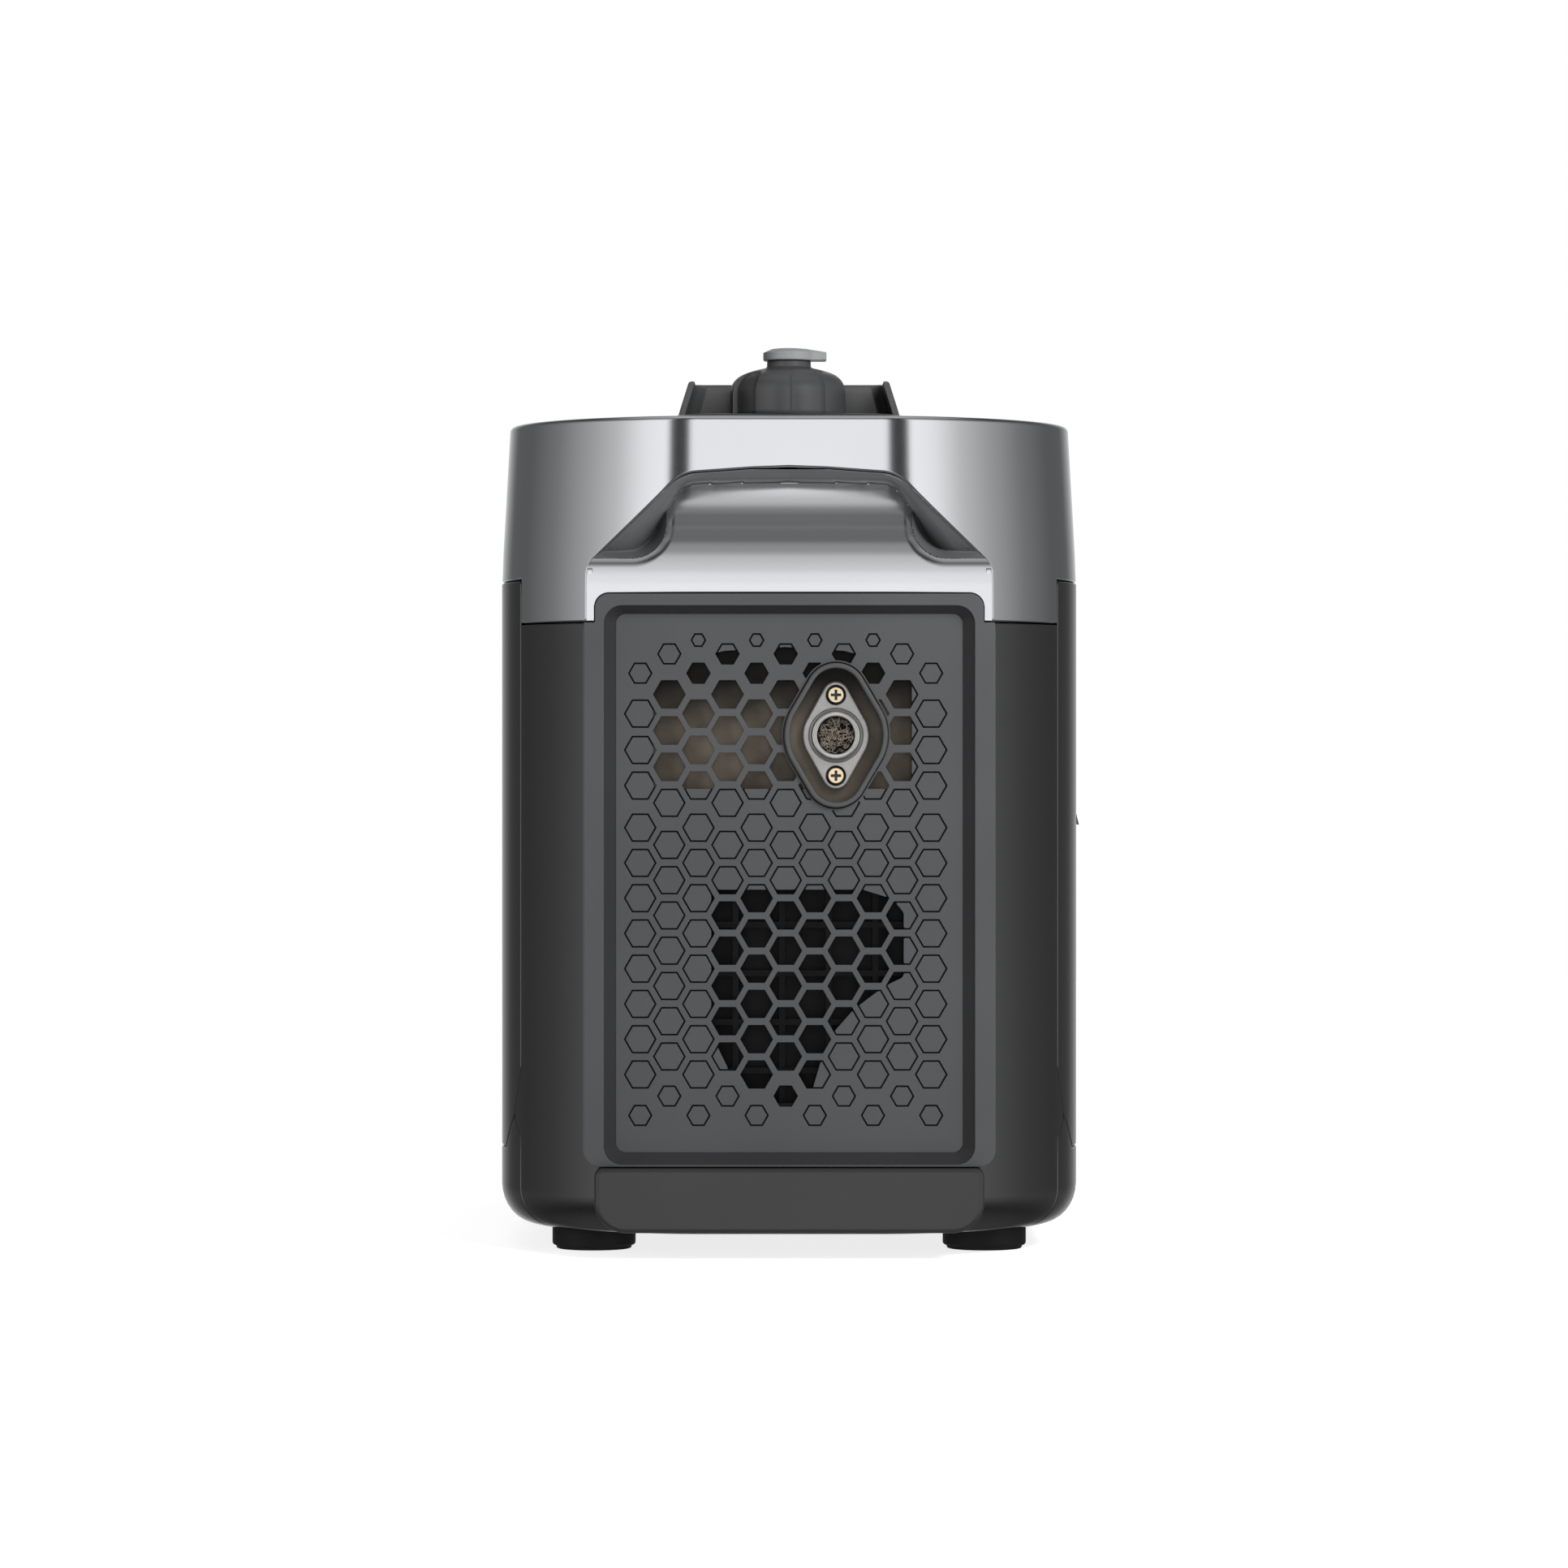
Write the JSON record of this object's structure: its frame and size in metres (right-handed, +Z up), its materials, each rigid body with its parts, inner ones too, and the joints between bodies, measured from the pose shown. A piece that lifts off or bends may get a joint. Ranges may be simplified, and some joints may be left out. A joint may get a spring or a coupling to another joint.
{
  "type": "portable inverter generator",
  "caption": "Portable inverter generator with carrying handles at both ends, hexagon grilles, tail pipe, vented fuel cap, recoil starter, control panel and the engine inside.",
  "frame": {"origin": "on the ground under the middle of the casing", "axes": "+Z up, -Y towards the exhaust end with the tail pipe, +X towards the control panel side"},
  "size_m": [0.297, 0.596, 0.464],
  "materials": {
    "housing_plastic": "satin, metallic silver grey, fine grain",
    "shell_plastic": "fine satin grain",
    "grille_plastic": "fine satin grain",
    "panel_plastic": "fine satin grain",
    "lever_plastic": "satin",
    "foot_rubber": "matt",
    "seal_rubber": "matt",
    "engine_alloy": "as cast",
    "sheet_steel": "satin",
    "heat_steel": "heat-tinted",
    "plated_screw": "bright plated",
    "steel_wool": "fine wire",
    "winding_copper": "lacquered windings",
    "rotor_iron": "machined",
    "plug_ceramic": "glazed",
    "dipstick_plastic": "gloss",
    "pulley_plastic": "satin",
    "rope_fabric": "braided",
    "display_glass": "gloss, dark",
    "button_plastic": "satin",
    "battery_plastic": "matt"
  },
  "bodies": {
    "casing": {"top_housing": "housing_plastic", "exhaust_handle_scoop": "housing_plastic", "intake_handle_scoop": "housing_plastic", "exhaust_end_shell": "shell_plastic", "intake_end_shell": "shell_plastic", "control_side_panel": "shell_plastic", "service_side_panel": "shell_plastic", "base_tray": "shell_plastic", "rubber_feet": "foot_rubber", "foot_screws": "sheet_steel", "exhaust_grille": "grille_plastic", "intake_grille": "grille_plastic", "tail_pipe_bezel": "grille_plastic", "tail_pipe_flange": "engine_alloy", "tail_pipe_screws": "plated_screw", "spark_arrester_wool": "steel_wool", "muffler": "sheet_steel", "muffler_heat_shield": "heat_steel", "exhaust_header": "sheet_steel", "engine_duct_lattice": "panel_plastic", "filler_surround": "panel_plastic", "fuel_tank": "panel_plastic", "petcock": "engine_alloy", "fuel_hose": "seal_rubber", "crankcase": "engine_alloy", "cylinder_barrel": "engine_alloy", "cylinder_head": "engine_alloy", "valve_cover": "panel_plastic", "spark_plug": "plug_ceramic", "plug_boot": "seal_rubber", "carburettor": "engine_alloy", "air_filter_box": "panel_plastic", "engine_mounts": "seal_rubber", "alternator_stator": "winding_copper", "fan_shroud": "panel_plastic", "recoil_housing": "panel_plastic", "recoil_cup": "panel_plastic", "inverter_module": "engine_alloy", "starter_battery": "battery_plastic", "control_panel": "grille_plastic", "display_window": "display_glass", "outlet_block": "panel_plastic", "dc_port": "panel_plastic"},
    "cap_seal": {"cap_gasket": "seal_rubber"},
    "cap": {"fuel_cap": "panel_plastic"},
    "vent": {"vent_lever": "lever_plastic"},
    "crank_assembly": {"crankshaft": "sheet_steel", "alternator_rotor": "rotor_iron", "fan_flywheel": "rotor_iron"},
    "rope_pulley": {"recoil_pulley": "pulley_plastic"},
    "starter_grip": {"recoil_grip": "seal_rubber", "starter_rope": "rope_fabric"},
    "start_key": {"start_button": "button_plastic"},
    "mode_key": {"mode_button": "lever_plastic"},
    "outlet_flap": {"outlet_cover": "panel_plastic"},
    "fuel_valve": {"fuel_valve_knob": "panel_plastic"},
    "side_cover": {"service_cover": "shell_plastic"},
    "cover_latch": {"service_knob": "panel_plastic"},
    "oil_flap": {"oil_hatch": "shell_plastic"},
    "dipstick": {"oil_dipstick": "dipstick_plastic"}
  },
  "joints": [
    {"name": "cap_lift", "type": "slide", "parent": "casing", "child": "cap_seal", "axis": [0, 0, 1], "range_m": [0, 0.07]},
    {"name": "cap_turn", "type": "hinge", "parent": "cap_seal", "child": "cap", "pos_m": [0, -0.063, 0.434], "axis": [0, 0, 1], "range_deg": [0, 90]},
    {"name": "vent_turn", "type": "hinge", "parent": "cap", "child": "vent", "pos_m": [0, -0.063, 0.4575], "axis": [0, 0, 1], "range_deg": [0, 90]},
    {"name": "recoil_pull", "type": "slide", "parent": "casing", "child": "starter_grip", "axis": [1, 0, 0], "range_m": [0, 0.6], "stiffness_N_per_m": 15, "springref_m": -0.02},
    {"name": "recoil_pulley_turn", "type": "hinge", "parent": "casing", "child": "rope_pulley", "pos_m": [0, 0.185, 0.12], "axis": [0, 1, 0], "range_deg": [0, 800]},
    {"name": "crankshaft_spin", "type": "hinge", "parent": "casing", "child": "crank_assembly", "pos_m": [0, 0, 0.12], "axis": [0, 1, 0], "continuous": true},
    {"name": "start_press", "type": "slide", "parent": "casing", "child": "start_key", "axis": [-1, 0, 0], "range_m": [0, 0.002], "stiffness_N_per_m": 400, "springref_m": -0.0005},
    {"name": "mode_press", "type": "slide", "parent": "casing", "child": "mode_key", "axis": [-1, 0, 0], "range_m": [0, 0.0015], "stiffness_N_per_m": 400, "springref_m": -0.0005},
    {"name": "outlet_cover_swing", "type": "hinge", "parent": "casing", "child": "outlet_flap", "pos_m": [0.144, -0.095, 0.281], "axis": [0, -1, 0], "range_deg": [0, 110]},
    {"name": "fuel_valve_turn", "type": "hinge", "parent": "casing", "child": "fuel_valve", "pos_m": [0.141, 0.005, 0.19], "axis": [1, 0, 0], "range_deg": [0, 90]},
    {"name": "service_cover_pull", "type": "slide", "parent": "casing", "child": "side_cover", "axis": [-1, 0, 0], "range_m": [0, 0.12]},
    {"name": "cover_latch_turn", "type": "hinge", "parent": "side_cover", "child": "cover_latch", "pos_m": [-0.146, -0.015, 0.29], "axis": [1, 0, 0], "range_deg": [0, 90]},
    {"name": "oil_hatch_swing", "type": "hinge", "parent": "casing", "child": "oil_flap", "pos_m": [-0.1444, -0.03, 0.0596], "axis": [0, -1, 0], "range_deg": [0, 95]},
    {"name": "dipstick_turn", "type": "hinge", "parent": "casing", "child": "dipstick", "pos_m": [-0.078, -0.028, 0.082], "axis": [1, 0, 0], "range_deg": [0, 360]}
  ],
  "couplings": [
    {"joint": "recoil_pulley_turn", "follows": "recoil_pull", "rad_per_m": 22.222}
  ]
}
